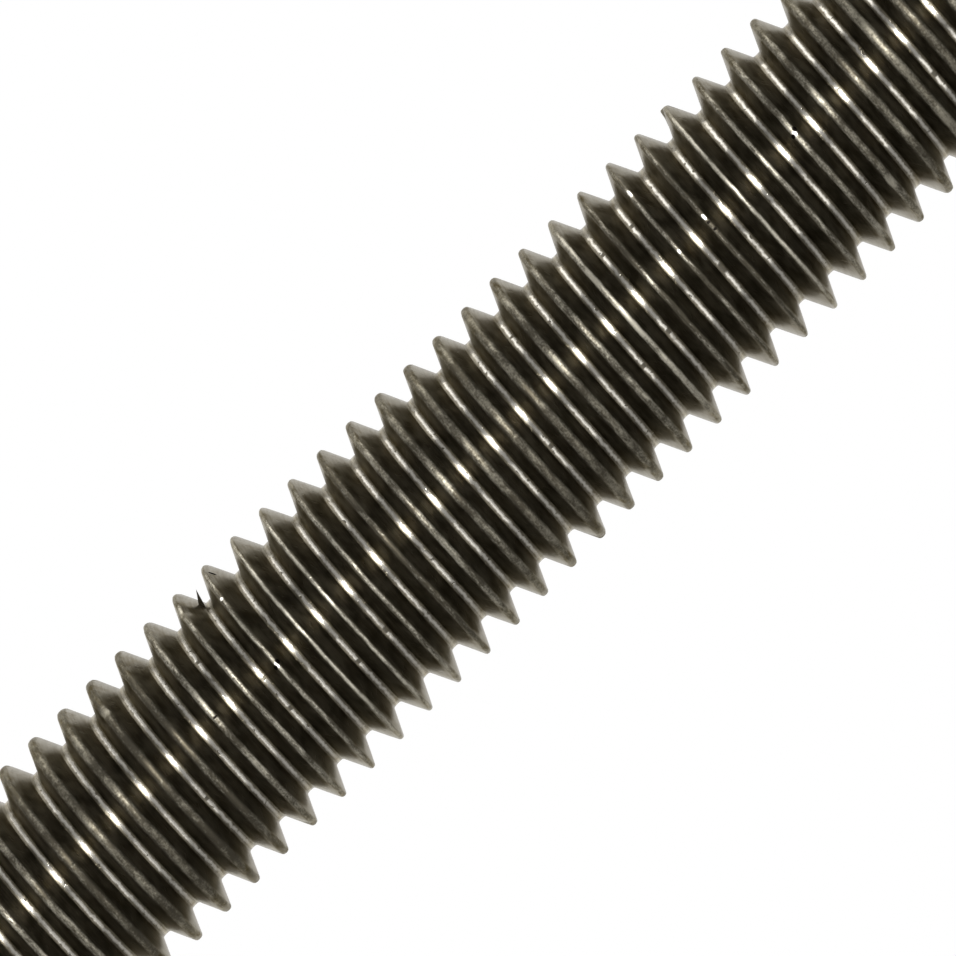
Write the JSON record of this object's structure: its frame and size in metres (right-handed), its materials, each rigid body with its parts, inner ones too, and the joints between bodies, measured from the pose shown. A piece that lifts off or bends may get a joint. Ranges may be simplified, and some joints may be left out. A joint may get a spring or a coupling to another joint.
{
  "type": "threaded rod",
  "caption": "Short length of dark steel threaded rod with a left-hand thread along all of it and square, chamfered ends.",
  "frame": {"origin": "centre of the lower sawn end face", "axes": "+Z along the rod from its lower end to its upper end, +X where the sharp edge of the thread's ridge starts"},
  "size_m": [0.0126, 0.0126, 0.0762],
  "materials": {
    "steel": "dark, lightly oiled plain steel with paler worn crests and bright groove bottoms"
  },
  "bodies": {
    "root": {"threaded_rod": "steel"}
  },
  "joints": []
}
